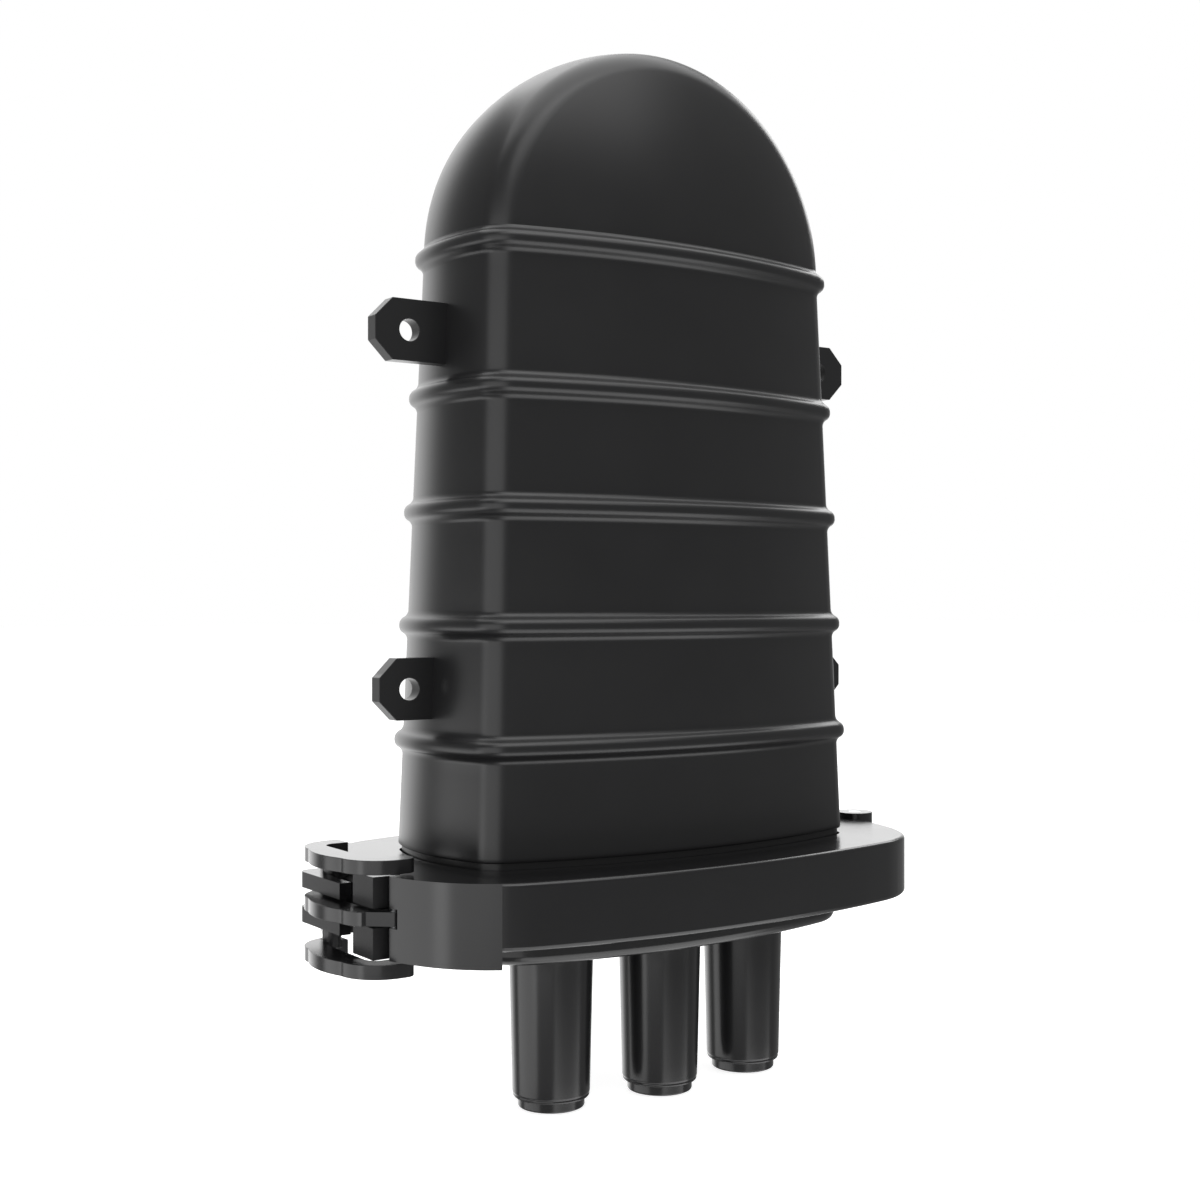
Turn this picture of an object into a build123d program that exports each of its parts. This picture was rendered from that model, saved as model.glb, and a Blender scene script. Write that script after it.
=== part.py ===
from build123d import *
import os
from math import atan2, cos, hypot, pi, sin, sqrt

# Upright dome closure for fibre splices: a ribbed dome with wall tabs stands on a
# base with three cable ports, and a two-part oval clamp grips both flanges.
# Heights below are measured from the seal plane between dome and base; the parts are
# written with their origin at the centre of the four tab holes.  +Z runs up the dome,
# +X along the wide side, -Y is the front.

# Dome section: four bowed sides joined by corner arcs, measured at the seal plane
dome_half_width = 102.8
dome_half_depth = 54.35
face_bow = 290.0
side_bow = 91.4
corner_radius = 14.2
draft_width = 0.0427
draft_depth = 0.0378
dome_wall = 4.0
arch_base_z = 264.0
foot_z = 15.6
neck_inset = 1.5

# Ribs round the dome
rib_heights = (263.1, 204.5, 156.2, 108.5, 60.2)
rib_height = 12.8
rib_proud = 3.6
rib_crest = 0.6
rib_root = 1.5

# Wall tabs moulded on the dome's sides
tab_heights = (227.7, 83.2)
tab_ends = (125.4, 123.6)
tab_tall = 25.0
tab_thick = 6.6
tab_chamfer = 7.8
tab_hole_radius = 4.5
tab_hole_x = 110.0
tab_root = 2.0

# Oval clamp band and the flanges inside it
band_half_width = 133.5
band_half_depth = 79.3
band_face_bow = 420.0
band_side_bow = 102.0
band_corner = 48.4
band_half_height = 13.0
band_wall = 5.0
band_edge_round = 2.0
flange_clearance = 0.3
flange_thick = 9.0
flange_rim = 5.0
flange_taper_run = 12.0
lip_gap = 1.0
parting_gap = 1.0

# Thick ends of the clamp halves beside the latch
block_proud = 3.0
block_top = 13.4
block_bottom = -18.8
clamp_left = -band_half_width
clamp_right = band_half_width
block_edge_x = clamp_left + 28.2
block_end_x = clamp_left + 1.0
block_end_y = 28.8
block_end_run = (7.2, 9.6)

# Hinge at the clamp's right end
hinge_x = clamp_right + 3.5
hinge_barrel_radius = 8.5
hinge_top = 15.8
hinge_pin_radius = 3.0
hinge_pin_clearance = 0.05
knuckle_half_height = 6.0
knuckle_gap = 0.3

# Latch lever: three C plates on one round post
post_x = clamp_left + 2.3
post_y = 23.9
post_radius = 3.9
post_clearance = 0.08
post_slot_radius = 14.6
post_hub_radius = 5.0
spine_end_radius = 12.6
plate_thick = 5.6
plate_outer_x = clamp_left - 15.1
plate_inner_x = clamp_left - 3.1
plate_arm_y = 31.6
plate_arm_inner_y = 21.5
plate_front_end_x = clamp_left + 12.2
plate_rear_end_x = clamp_left + 8.5
plate_bow = 2.6
plate_outer_corner = 17.0
plate_inner_corner = 5.0
plate_gap = 1.0
latch_mid_z = -2.5
tongue_thick = 3.8
tongue_start = (clamp_left - 7.1, -25.2)
tongue_bend = (clamp_left + 1.5, -32.3)
tongue_tip_x = clamp_left + 7.9
notch_end_x = clamp_left + 8.9
notch_side_y = -32.9

# Rear clamp half: sprung clips that carry the lever's post
clip_outer_x = clamp_left - 6.6
clip_front_y = -1.5
clip_rear_y = 37.5
clip_height = 6.4
clip_gap = 1.1
clip_root_x = clamp_left + 15.5
clip_throat = 0.7
clip_nib_y = 15.0

# Front clamp half: lugs in the mouth of the C plates
lug_outer_x = clamp_left - 4.5
lug_inner_x = clamp_left + 10.5
lug_front_y = -26.0
lug_rear_y = -9.0
keeper_x = clamp_left + 5.2
keeper_y = -25.6
keeper_radius = 2.0
keeper_reach = 6.0
keeper_sink = 0.4

# Base with its pan and three closed ports
pan_half_width = 98.0
pan_half_depth = 55.5
pan_face_bow = 300.0
pan_side_bow = 92.0
pan_corner = 26.0
pan_bottom = -25.0
pan_wall = 4.0
pan_edge_round = 4.0
port_pitch = 51.4
port_outer_y = -17.6
port_middle_y = -23.9
port_root_radius = 17.6
port_end_radius = 15.95
port_step_z = -86.0
port_tip_radius = 13.95
port_tip_z = -90.2
port_wall = 3.0
port_root_fillet = 1.6
port_seam = 0.5

# Seal between the flanges
seal_width = 6.0
seal_height = 4.0
seal_side_clearance = 0.1
seal_inset = 9.0

# Tray carrier, hinge block and trays
carrier_y = 22.0
carrier_thick = 2.5
carrier_half_width = 60.0
carrier_top = 236.0
carrier_foot_reach = 16.0
carrier_corner = 12.0
carrier_window_half_width = 36.0
carrier_window_levels = ((112.0, 152.0), (166.0, 214.0))
boss_radius = 6.0
boss_height = 6.0
boss_x = 46.0
screw_radius = 2.0
screw_head_radius = 3.8
screw_head_height = 2.6
screw_length = 8.0
yoke_screw_length = 8.0
hinge_block_z = 26.0
hinge_block_height = 26.0
hinge_block_half_width = 34.0
tray_count = 4
tray_pitch = 10.6
tray_depth = 9.0
tray_half_width = 74.0
tray_bottom = 44.0
tray_top = 238.0
tray_corner = 26.0
coil_ring_inset = 46.0
coil_ring_radius = 22.0
coil_ring_bore = 20.4
tray_wall = 1.8
tray_floor = 1.8
tray_rear_y = 18.0
trunnion_radius = 2.2
trunnion_clearance = 0.08
tray_ear_half = 30.0
holder_half_width = 24.0
holder_height = 36.0
holder_slots = 12
holder_depth = 6.0
lid_thick = 1.4
strap_gap = 0.3
strap_width = 18.0
strap_thick = 1.6
strap_z = 196.0

# Slack store behind the carrier and cable fixing bar over the ports
slack_half_width = 56.0
slack_bottom = 46.0
slack_top = 106.0
slack_depth = 12.0
slack_wall = 2.0
bar_half_width = 73.0
bar_thick = 3.0
bar_depth = 9.0
bar_z = -8.0
bar_y = -3.5
bar_ear_height = 22.0
bar_ear_width = 16.0
bar_pillar_x = 66.0
bar_pillar_y = 1.0
yoke_width = 20.0
yoke_thick = 4.0
yoke_height = 12.0

os.makedirs("parts", exist_ok=True)


def bowed_outline(half_width, half_depth, front_bow, end_bow, corner, grow=0.0):
    """Closed face of two long bows, two end bows and four corner arcs, grown evenly."""
    a = half_width + grow
    b = half_depth + grow
    rf = front_bow + grow
    rs = end_bow + grow
    rc = corner + grow
    cf = (0.0, b - rf)
    cs = (a - rs, 0.0)
    d = hypot(cs[0] - cf[0], cs[1] - cf[1])
    reach_f = rf - rc
    reach_s = rs - rc
    along = (reach_f ** 2 - reach_s ** 2 + d ** 2) / (2 * d)
    off = sqrt(reach_f ** 2 - along ** 2)
    ux = (cs[0] - cf[0]) / d
    uy = (cs[1] - cf[1]) / d
    kx = cf[0] + ux * along + uy * off
    ky = cf[1] + uy * along - ux * off
    front_angle = atan2(ky - cf[1], kx - cf[0])
    end_angle = atan2(ky - cs[1], kx - cs[0])
    mid_angle = (front_angle + end_angle) / 2
    end_tip = (a, 0.0)
    end_mid = (cs[0] + rs * cos(end_angle / 2), cs[1] + rs * sin(end_angle / 2))
    join_end = (kx + rc * cos(end_angle), ky + rc * sin(end_angle))
    corner_mid = (kx + rc * cos(mid_angle), ky + rc * sin(mid_angle))
    join_front = (kx + rc * cos(front_angle), ky + rc * sin(front_angle))
    front_tip = (0.0, b)

    def flip(point, sx, sy):
        return (point[0] * sx, point[1] * sy)

    edges = [
        ThreePointArc(end_tip, end_mid, join_end),
        ThreePointArc(join_end, corner_mid, join_front),
        ThreePointArc(join_front, front_tip, flip(join_front, -1, 1)),
        ThreePointArc(flip(join_front, -1, 1), flip(corner_mid, -1, 1), flip(join_end, -1, 1)),
        ThreePointArc(flip(join_end, -1, 1), flip(end_tip, -1, 1), flip(join_end, -1, -1)),
        ThreePointArc(flip(join_end, -1, -1), flip(corner_mid, -1, -1), flip(join_front, -1, -1)),
        ThreePointArc(flip(join_front, -1, -1), flip(front_tip, 1, -1), flip(join_front, 1, -1)),
        ThreePointArc(flip(join_front, 1, -1), flip(corner_mid, 1, -1), flip(join_end, 1, -1)),
        ThreePointArc(flip(join_end, 1, -1), flip(end_mid, 1, -1), end_tip),
    ]
    return make_face(edges)


def dome_section(z, grow=0.0):
    """The dome's section at a height, narrowed by the draft."""
    return bowed_outline(
        dome_half_width - draft_width * z,
        dome_half_depth - draft_depth * z,
        face_bow, side_bow, corner_radius, grow)


def band_section(grow=0.0):
    """The clamp band's oval, and with a negative growth the flanges inside it."""
    return bowed_outline(
        band_half_width, band_half_depth, band_face_bow, band_side_bow, band_corner, grow)


def pan_section(grow=0.0):
    """The base pan's oval."""
    return bowed_outline(
        pan_half_width, pan_half_depth, pan_face_bow, pan_side_bow, pan_corner, grow)


def prism(face, low, high):
    """The face extruded between two heights."""
    return extrude(Pos(0, 0, low) * face, high - low, dir=(0, 0, 1))


def slab(x0, x1, y0, y1, z0, z1):
    """A block between two corners."""
    centre = Pos((x0 + x1) / 2, (y0 + y1) / 2, (z0 + z1) / 2)
    return centre * Box(abs(x1 - x0), abs(y1 - y0), abs(z1 - z0))


def rod(x, y, z0, z1, radius):
    """An upright cylinder between two heights."""
    return Pos(x, y, (z0 + z1) / 2) * Cylinder(radius, abs(z1 - z0))


def rod_y(x, z, y0, y1, radius):
    """A cylinder along Y."""
    return Pos(x, (y0 + y1) / 2, z) * Rot(90, 0, 0) * Cylinder(radius, abs(y1 - y0))


def rod_x(y, z, x0, x1, radius):
    """A cylinder along X."""
    return Pos((x0 + x1) / 2, y, z) * Rot(0, 90, 0) * Cylinder(radius, abs(x1 - x0))


# Dome cover


def dome_body(grow, bottom):
    """The dome's drafted body, from a height up to the foot of its arch."""
    return loft([Pos(0, 0, bottom) * dome_section(bottom, grow),
                 Pos(0, 0, arch_base_z) * dome_section(arch_base_z, grow)], ruled=True)


def dome_arch(grow):
    """The dome's top: half the section turned over from side to side about the Y direction."""
    half = dome_section(arch_base_z, grow) & Pos(-dome_half_width, 0, 0) * Rectangle(
        2 * dome_half_width, 3 * dome_half_depth)
    return revolve(Pos(0, 0, arch_base_z) * half,
                   Axis((0, 0, arch_base_z), (0, 1, 0)), revolution_arc=180)


def rib(z):
    """One rib: an S-flanked profile swept round the dome's section."""
    start_x = dome_half_width - draft_width * z
    rise = (rib_height - rib_crest) / 2
    turn = 2 * atan2(rib_proud, rise)
    flank_radius = rise / (2 * sin(turn))
    half = rib_height / 2
    crest = rib_crest / 2
    bend = flank_radius * (1 - cos(turn / 2))
    lift = flank_radius * sin(turn / 2)

    def at(n, h):
        return Vector(start_x + n, 0, z + h)

    middle = rib_proud / 2
    profile = make_face([
        Line(at(-rib_root, -half), at(0, -half)),
        ThreePointArc(at(0, -half), at(bend, -half + lift), at(middle, -half + rise / 2)),
        ThreePointArc(at(middle, -half + rise / 2), at(rib_proud - bend, -crest - lift),
                      at(rib_proud, -crest)),
        Line(at(rib_proud, -crest), at(rib_proud, crest)),
        ThreePointArc(at(rib_proud, crest), at(rib_proud - bend, crest + lift),
                      at(middle, half - rise / 2)),
        ThreePointArc(at(middle, half - rise / 2), at(bend, half - lift), at(0, half)),
        Line(at(0, half), at(-rib_root, half)),
        Line(at(-rib_root, half), at(-rib_root, -half)),
    ])
    path = (Pos(0, 0, z) * dome_section(z)).face().outer_wire()
    return sweep(profile, path=path)


def tab(side, z, end_x):
    """One wall tab with clipped corners and its bolt hole."""
    root_x = dome_half_width - draft_width * z - tab_root
    half = tab_tall / 2
    plate = slab(side * root_x, side * end_x, -tab_thick / 2, tab_thick / 2, z - half, z + half)
    outer = [e for e in plate.edges().filter_by(Axis.Y) if abs(e.center().X) > end_x - 0.1]
    plate = chamfer(outer, tab_chamfer)
    return plate - rod_y(side * tab_hole_x, z, -tab_thick, tab_thick, tab_hole_radius)


def flange_form(grow, side):
    """A flange: flat at the seal plane, tapered on its far face, side is 1 up or -1 down."""
    rim = flange_rim + grow
    thick = flange_thick + grow
    outline = grow - band_wall - flange_clearance
    core = prism(band_section(outline), min(0, side * rim), max(0, side * rim))
    taper = loft([Pos(0, 0, side * rim) * band_section(outline),
                  Pos(0, 0, side * thick) * band_section(outline - flange_taper_run)], ruled=True)
    return core + taper


def make_dome():
    """The dome in one moulding: shell, ribs, tabs, neck and flange."""
    shell = dome_body(0, foot_z)
    for height in rib_heights:
        shell += rib(height)
    shell += dome_arch(0)
    for height, end_x in zip(tab_heights, tab_ends):
        for side in (1, -1):
            shell += tab(side, height, end_x)
    neck = loft([Pos(0, 0, flange_thick) * dome_section(flange_thick, -neck_inset),
                 Pos(0, 0, foot_z) * dome_section(foot_z, -neck_inset)], ruled=True)
    hollow = dome_body(-dome_wall, 0) + dome_arch(-dome_wall)
    return shell + neck + flange_form(0, 1) - hollow


def seal_groove(grow, low, high):
    """The closed track of the seal."""
    middle = -band_wall - flange_clearance - seal_inset
    outer = prism(band_section(middle + seal_width / 2 + grow), low, high)
    return outer - prism(band_section(middle - seal_width / 2 - grow), low - 1, high + 1)


def port_places():
    """Plan positions of the three ports."""
    return ((-port_pitch, port_outer_y), (0.0, port_middle_y), (port_pitch, port_outer_y))


def port_outside(x, y):
    """A tapered port tube with its stepped closed tip, from inside the pan's floor."""
    top = pan_bottom + pan_wall / 2
    groove_z = port_step_z + 3 * port_seam
    profile = Polyline([
        (0, top), (port_root_radius + port_root_fillet, top),
        (port_root_radius + port_root_fillet, pan_bottom),
        (port_root_radius, pan_bottom - port_root_fillet),
        (port_end_radius + port_seam / 2, groove_z + port_seam),
        (port_end_radius - port_seam / 2, groove_z),
        (port_end_radius, groove_z - port_seam),
        (port_end_radius, port_step_z + port_seam),
        (port_end_radius - port_seam, port_step_z),
        (port_tip_radius, port_step_z),
        (port_tip_radius, port_tip_z + port_seam),
        (port_tip_radius - port_seam, port_tip_z),
        (0, port_tip_z)], close=True)
    face = make_face(profile)
    upright = Plane.XZ * face
    return Pos(x, y, 0) * revolve(upright, Axis.Z)


def port_bore(x, y):
    """The tapered inside of a port, open into the pan and closed at its tip."""
    low = port_tip_z + port_wall
    high = pan_bottom + pan_wall + 1
    top_radius = port_root_radius - port_wall
    low_radius = port_tip_radius - port_wall + 1
    cone = Cone(low_radius, top_radius, high - low)
    return Pos(x, y, (low + high) / 2) * cone


def boss_places():
    """Plan positions of the carrier's four screws."""
    front_y = carrier_y - carrier_foot_reach / 2
    return [(sx * boss_x, front_y + row) for sx in (-1, 1) for row in (0, carrier_foot_reach)]


def make_base():
    """The base in one moulding: flange, pan, ports and screw bosses."""
    pan = prism(pan_section(), pan_bottom, -flange_thick / 2)
    floor_edges = pan.edges().filter_by(lambda e: abs(e.center().Z - pan_bottom) < 0.01)
    pan = fillet(floor_edges, pan_edge_round)
    body = pan + flange_form(0, -1)
    for x, y in port_places():
        body += port_outside(x, y)
    body -= prism(pan_section(-pan_wall), pan_bottom + pan_wall, 1)
    for x, y in boss_places():
        body += rod(x, y, pan_bottom + pan_wall, pan_bottom + pan_wall + boss_height, boss_radius)
    for x, y in bar_places():
        body += rod(x, y, pan_bottom + pan_wall, bar_z, boss_radius)
    for x, y in boss_places():
        top = pan_bottom + pan_wall + boss_height
        body -= rod(x, y, top - screw_length, top + 1, screw_radius)
    for x, y in bar_places():
        body -= rod(x, y, bar_z - screw_length, bar_z + 1, screw_radius)
    for x, y in port_places():
        body -= port_bore(x, y)
    groove = seal_groove(seal_side_clearance, -seal_height, 1)
    return body - groove


# Clamp


def band_hollow():
    """Space inside the clamp: both flanges with clearance, and the dome's and pan's ways out."""
    hollow = flange_form(flange_clearance, 1) + flange_form(flange_clearance, -1)
    way_up = prism(dome_section(band_half_height, lip_gap - neck_inset), 0, 3 * band_half_height)
    way_down = prism(pan_section(lip_gap), -3 * band_half_height, 0)
    return hollow + way_up + way_down


def full_band():
    """The whole clamp ring before it is parted."""
    ring = prism(band_section(), -band_half_height, band_half_height)
    rims = ring.edges().filter_by(lambda e: abs(abs(e.center().Z) - band_half_height) < 0.01)
    ring = fillet(rims, band_edge_round)
    return ring


def end_block():
    """Thick left ends: an offset of the oval, cut off at the block's edge."""
    block = prism(band_section(block_proud), block_bottom, block_top)
    block &= slab(-2 * band_half_width, block_edge_x, -band_half_depth * 2,
                  band_half_depth * 2, 2 * block_bottom, 2 * block_top)
    run_x, run_y = block_end_run
    for side in (1, -1):
        corner = make_face(Polyline([
            (block_end_x, side * block_end_y),
            (block_end_x + run_x, side * (block_end_y - run_y)),
            (-2 * band_half_width, side * (block_end_y - run_y)),
            (-2 * band_half_width, side * block_end_y)], close=True))
        block -= prism(corner, 2 * block_bottom, 2 * block_top)
    return block


def latch_room():
    """Space at the parting between the two end blocks for the latch."""
    room = slab(-2 * band_half_width, plate_front_end_x + 2.5, -plate_arm_inner_y,
                plate_arm_inner_y + post_radius + 3, 2 * block_bottom, 2 * block_top)
    return room


def plate_levels():
    """Lowest height of the top, middle and bottom plates."""
    top = block_top + plate_gap
    middle = latch_mid_z - plate_thick / 2
    bottom = block_bottom - plate_gap - plate_thick
    return top, middle, bottom


def c_outline(front_end_x):
    """Plan face of a C plate, open towards the clamp."""
    ow = plate_outer_x + plate_bow
    start = (front_end_x, -plate_arm_y)
    outer = [
        Line(start, (ow + plate_outer_corner, -plate_arm_y)),
        ThreePointArc((ow + plate_outer_corner, -plate_arm_y),
                      (ow + plate_outer_corner * (1 - cos(pi / 4)),
                       -plate_arm_y + plate_outer_corner * (1 - sin(pi / 4))),
                      (ow, -plate_arm_y + plate_outer_corner)),
        ThreePointArc((ow, -plate_arm_y + plate_outer_corner), (plate_outer_x, 0),
                      (ow, plate_arm_y - plate_outer_corner)),
        ThreePointArc((ow, plate_arm_y - plate_outer_corner),
                      (ow + plate_outer_corner * (1 - cos(pi / 4)),
                       plate_arm_y - plate_outer_corner * (1 - sin(pi / 4))),
                      (ow + plate_outer_corner, plate_arm_y)),
        Line((ow + plate_outer_corner, plate_arm_y), (plate_rear_end_x, plate_arm_y)),
        Line((plate_rear_end_x, plate_arm_y), (plate_rear_end_x, plate_arm_inner_y)),
        Line((plate_rear_end_x, plate_arm_inner_y), (plate_inner_x, plate_arm_inner_y)),
        Line((plate_inner_x, plate_arm_inner_y), (plate_inner_x, -plate_arm_inner_y)),
        Line((plate_inner_x, -plate_arm_inner_y), (front_end_x, -plate_arm_inner_y)),
        Line((front_end_x, -plate_arm_inner_y), start),
    ]
    face = make_face(outer)
    inside = [v for v in face.vertices()
              if abs(v.X - plate_inner_x) < 0.01]
    return fillet(inside, plate_inner_corner)


def make_lever():
    """The latch lever in one moulding: three C plates on the turning post."""
    top, middle, bottom = plate_levels()
    arm_round = (plate_arm_y - plate_arm_inner_y) / 2 - 0.1
    lever = None
    for low in (top, bottom):
        plate = prism(c_outline(plate_front_end_x), low, low + plate_thick)
        tips = [e for e in plate.edges().filter_by(Axis.Z)
                if abs(e.center().X - plate_front_end_x) < 0.01]
        plate = fillet(tips, arm_round)
        lever = plate if lever is None else lever + plate
    spine = prism(c_outline(plate_front_end_x), middle, middle + plate_thick)
    spine -= slab(plate_inner_x, 0, -2 * plate_arm_y, 0, middle - 1, middle + plate_thick + 1)
    spine -= slab(2 * plate_outer_x, 0, -2 * plate_arm_y, tongue_start[1],
                  middle - 1, middle + plate_thick + 1)
    tongue = make_face(Polyline([
        (plate_inner_x, tongue_start[1] + 6), (tongue_start[0], tongue_start[1] + 6),
        tongue_start, tongue_bend, (tongue_tip_x, tongue_bend[1]),
        (tongue_tip_x, tongue_bend[1] + tongue_thick),
        (tongue_bend[0] + 1.5, tongue_bend[1] + tongue_thick),
        (plate_inner_x, tongue_start[1] + 1.5)], close=True))
    spine -= slab(plate_inner_x, 0, 0, 2 * plate_arm_y, middle - 1, middle + plate_thick + 1)
    beyond = slab(2 * plate_outer_x, 0, post_y, 2 * plate_arm_y, middle - 1, middle + plate_thick + 1)
    spine -= beyond - rod(post_x, post_y, middle - 2, middle + plate_thick + 2, spine_end_radius)
    spine += slab(plate_inner_x - 1, post_x, post_y - post_hub_radius, post_y + 0.86 * post_hub_radius,
                  middle, middle + plate_thick)
    spine += rod(post_x, post_y, middle, middle + plate_thick, post_hub_radius)
    lever += spine + prism(tongue, middle, middle + plate_thick)
    lever += rod(post_x, post_y, bottom + plate_thick / 2, top + plate_thick / 2, post_radius)
    return lever


def lever_slots():
    """Slots that the middle plate needs: round the post, in the front block and at its mouth."""
    gap = plate_gap
    low = latch_mid_z - plate_thick / 2 - gap
    high = latch_mid_z + plate_thick / 2 + gap
    rear = rod(post_x, post_y, low, high, post_slot_radius)
    notch = slab(-2 * band_half_width, notch_end_x, notch_side_y, -plate_arm_inner_y + 1, low, high)
    return rear, notch


def clip(low):
    """One sprung clip of the rear half, open to the front, round the lever's post."""
    high = low + clip_height
    finger = slab(clip_outer_x, clip_root_x, clip_front_y, clip_rear_y, low, high)
    corner = [e for e in finger.edges().filter_by(Axis.Z)
              if e.center().Y > clip_rear_y - 0.1 and e.center().X < clip_outer_x + 0.1]
    finger = fillet(corner, 5.0)
    eye = rod(post_x, post_y, low - 1, high + 1, post_radius + post_clearance)
    way_in = slab(post_x - post_radius - post_clearance, 0, clip_front_y - 1, clip_nib_y,
                  low - 1, high + 1)
    way_in += slab(post_x - post_radius + clip_throat, 0, clip_nib_y, post_y, low - 1, high + 1)
    return finger - eye - way_in


def barrel(side, low, high):
    """A knuckle of the clamp's hinge, with a web back to its own half of the band."""
    round_part = rod(hinge_x, 0, low, high, hinge_barrel_radius)
    web = slab(band_half_width - band_wall, hinge_x, 0, side * hinge_barrel_radius, low, high)
    return round_part + web


def make_clamp(front):
    """One half of the clamp with its end block, latch parts and hinge knuckles."""
    side = -1 if front else 1
    ring = full_band() + end_block()
    half_space = slab(2 * clamp_left, 2 * clamp_right, side * parting_gap / 2,
                      side * 2 * band_half_depth, 3 * block_bottom, 3 * block_top)
    half = ring & half_space
    half -= latch_room()
    rear, notch = lever_slots()
    if front:
        for low, high in ((latch_mid_z + plate_thick / 2 + plate_gap, block_top - 0.1),
                          (block_bottom + 0.3, latch_mid_z - plate_thick / 2 - plate_gap)):
            half += slab(lug_outer_x, lug_inner_x, lug_front_y, lug_rear_y, low, high)
        half -= notch
        half -= rod(keeper_x, keeper_y, latch_mid_z - plate_thick / 2 - keeper_reach,
                    block_top + 1, keeper_radius)
    else:
        low_mid = latch_mid_z - plate_thick / 2 - clip_gap
        high_mid = latch_mid_z + plate_thick / 2 + clip_gap
        half += clip(high_mid)
        half += clip(low_mid - clip_height)
        half -= rear
    half -= band_hollow()
    knuckles = [(-hinge_top, -knuckle_half_height - knuckle_gap),
                (knuckle_half_height + knuckle_gap, hinge_top)]
    if front:
        knuckles = [(-knuckle_half_height, knuckle_half_height)]
    other = [(-knuckle_half_height - 2 * knuckle_gap, knuckle_half_height + 2 * knuckle_gap)]
    if front:
        other = [(-hinge_top - 1, -knuckle_half_height), (knuckle_half_height, hinge_top + 1)]
    for low, high in other:
        half -= rod(hinge_x, 0, low, high, hinge_barrel_radius + 0.5)
    for low, high in knuckles:
        piece = barrel(side, low, high)
        half += piece - flange_form(2 * flange_clearance, 1) - flange_form(2 * flange_clearance, -1)
    half -= rod(hinge_x, 0, -2 * hinge_top, 2 * hinge_top, hinge_pin_radius + hinge_pin_clearance)
    return half


def make_keeper():
    """Steel keeper pin across the front block's notch."""
    return rod(keeper_x, keeper_y, latch_mid_z - plate_thick / 2 - keeper_reach,
               block_top - keeper_sink, keeper_radius)


def make_hinge_pin():
    """Hinge pin, flush with the barrel's ends."""
    return rod(hinge_x, 0, -hinge_top, hinge_top, hinge_pin_radius)


# Inside fittings


def screw(x, y, seat_z):
    """A pan-head screw standing in its hole, head above the seat."""
    shank = rod(x, y, seat_z - screw_length + 1, seat_z, screw_radius - 0.1)
    head = rod(x, y, seat_z, seat_z + screw_head_height, screw_head_radius)
    rim = [e for e in head.edges() if e.center().Z > seat_z + screw_head_height - 0.01]
    head = fillet(rim, 1.0)
    slot = slab(x - screw_head_radius, x + screw_head_radius, y - 0.4, y + 0.4,
                seat_z + screw_head_height - 1, seat_z + screw_head_height + 1)
    return shank + head - slot


def screw_y(x, z, seat_y, length):
    """A screw along Y, its head on the front side of the seat."""
    shank = rod_y(x, z, seat_y, seat_y + length, screw_radius - 0.1)
    head = rod_y(x, z, seat_y - screw_head_height, seat_y, screw_head_radius)
    slot = slab(x - screw_head_radius, x + screw_head_radius,
                seat_y - screw_head_height - 1, seat_y - screw_head_height + 1, z - 0.4, z + 0.4)
    return shank + head - slot


def screw_back(x, z, seat_y, length):
    """A screw along Y with its head on the rear side of the seat."""
    return Pos(0, 2 * seat_y, 0) * mirror(screw_y(x, z, seat_y, length), Plane.XZ)


def foot_top():
    """Height of the carrier foot's upper face."""
    return pan_bottom + pan_wall + boss_height + carrier_thick


def make_carrier():
    """Folded sheet carrier: two feet on the bosses and an upright plate with windows."""
    foot_z0 = foot_top() - carrier_thick
    plate = slab(-carrier_half_width, carrier_half_width, carrier_y, carrier_y + carrier_thick,
                 foot_z0, carrier_top)
    corners = [e for e in plate.edges().filter_by(Axis.Y) if e.center().Z > carrier_top - 0.1]
    plate = fillet(corners, carrier_corner)
    for z0, z1 in carrier_window_levels:
        window = slab(-carrier_window_half_width, carrier_window_half_width,
                      carrier_y - 1, carrier_y + carrier_thick + 1, z0, z1)
        sides = window.edges().filter_by(Axis.Y)
        plate -= fillet(sides, 6.0)
    foot = slab(-carrier_half_width, carrier_half_width, carrier_y - carrier_foot_reach,
                carrier_y + carrier_foot_reach, foot_z0, foot_z0 + carrier_thick)
    carrier = plate + foot
    for x, y in boss_places():
        carrier -= rod(x, y, foot_z0 - 1, foot_z0 + carrier_thick + 1, screw_radius + 0.25)
    for sx in (-1, 1):
        z = hinge_block_z + hinge_block_height / 2
        carrier -= rod_y(sx * hinge_block_half_width / 2, z, carrier_y - 1,
                         carrier_y + carrier_thick + 1, screw_radius + 0.25)
    for x in slack_screw_places():
        carrier -= rod_y(x, slack_screw_z(), carrier_y - 1, carrier_y + carrier_thick + 1,
                         screw_radius)
    return carrier


def tray_front(index):
    """Front face position of a tray, counted from the carrier outwards."""
    return tray_rear_y - index * tray_pitch - tray_depth


def hinge_axis_z():
    """Height of the trays' hinge axes."""
    return tray_bottom - 6.0


def make_hinge_block():
    """Stepped hinge block with one pair of open sockets for each tray."""
    front = tray_front(tray_count - 1)
    block = slab(-hinge_block_half_width, hinge_block_half_width, front, carrier_y,
                 hinge_block_z, hinge_block_z + 6)
    back = slab(-hinge_block_half_width, hinge_block_half_width, tray_rear_y + 1, carrier_y,
                hinge_block_z, hinge_block_z + hinge_block_height)
    block += back
    for index in range(tray_count):
        middle = tray_front(index) + tray_depth / 2
        for sx in (-1, 1):
            ear = slab(sx * (tray_ear_half + 0.3), sx * hinge_block_half_width,
                       middle - 4.2, middle + 4.2, hinge_block_z, hinge_axis_z() + 4)
            block += ear
            block -= rod_x(middle, hinge_axis_z(), sx * (tray_ear_half - 1),
                           sx * (hinge_block_half_width + 1), trunnion_radius + trunnion_clearance)
    for sx in (-1, 1):
        z = hinge_block_z + hinge_block_height / 2
        block -= rod_y(sx * hinge_block_half_width / 2, z, tray_rear_y - 1, carrier_y + 1,
                       screw_radius)
    return block


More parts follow.
